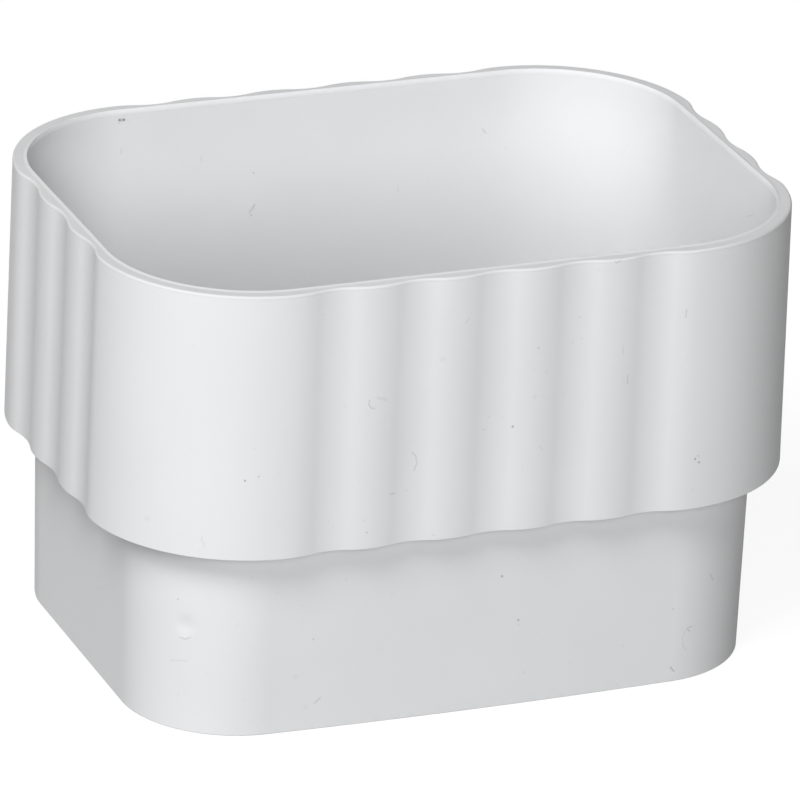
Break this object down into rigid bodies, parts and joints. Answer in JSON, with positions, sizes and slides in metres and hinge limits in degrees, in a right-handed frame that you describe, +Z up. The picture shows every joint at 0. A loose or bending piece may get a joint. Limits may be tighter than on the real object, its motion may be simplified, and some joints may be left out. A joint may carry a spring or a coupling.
{
  "type": "downspout connector",
  "caption": "Rectangular rain pipe coupling moulded in one piece: a fluted socket with a rounded rim above a plain tapered spigot, open end to end, with a stop ledge inside.",
  "frame": {"origin": "middle of the spigot's open end, on the plane that the connector stands on", "axes": "+Z up the water way from the spigot to the socket's rim, +X along the long sides, -Y the long side that faces the picture's camera"},
  "size_m": [0.0874, 0.064, 0.057],
  "materials": {
    "white_vinyl": "satin moulded white"
  },
  "bodies": {
    "root": {"connector_body": "white_vinyl"}
  },
  "joints": []
}
